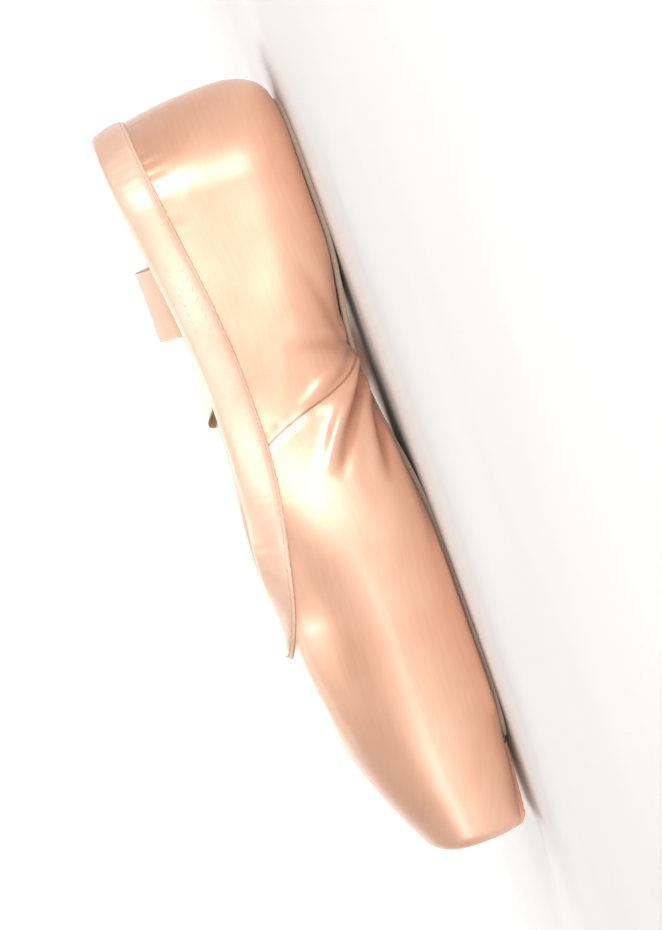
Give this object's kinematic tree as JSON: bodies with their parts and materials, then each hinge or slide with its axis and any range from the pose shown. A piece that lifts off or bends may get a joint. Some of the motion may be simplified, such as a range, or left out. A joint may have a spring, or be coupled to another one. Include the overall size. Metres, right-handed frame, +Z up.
{
  "type": "pointe shoe",
  "caption": "Satin ballet pointe shoe with a hard box and flat platform, thin suede sole, bound collar and loose ankle ribbons.",
  "frame": {"origin": "on the floor, under the middle of the shoe's length and width, without its ribbons", "axes": "+X from heel to toe, +Y to the wearer's left, +Z up"},
  "size_m": [0.2363, 0.2104, 0.0574],
  "materials": {
    "satin": "glossy peach satin",
    "binding": "pale satin tape",
    "suede": "grey-tan suede",
    "insole": "cotton over board",
    "ribbon": "matte pale peach satin ribbon"
  },
  "bodies": {
    "root": {"upper": "satin", "toe_panel": "satin", "binding": "binding", "outsole": "suede", "insole": "insole", "ribbon_left": "ribbon", "ribbon_right": "ribbon"}
  },
  "joints": []
}
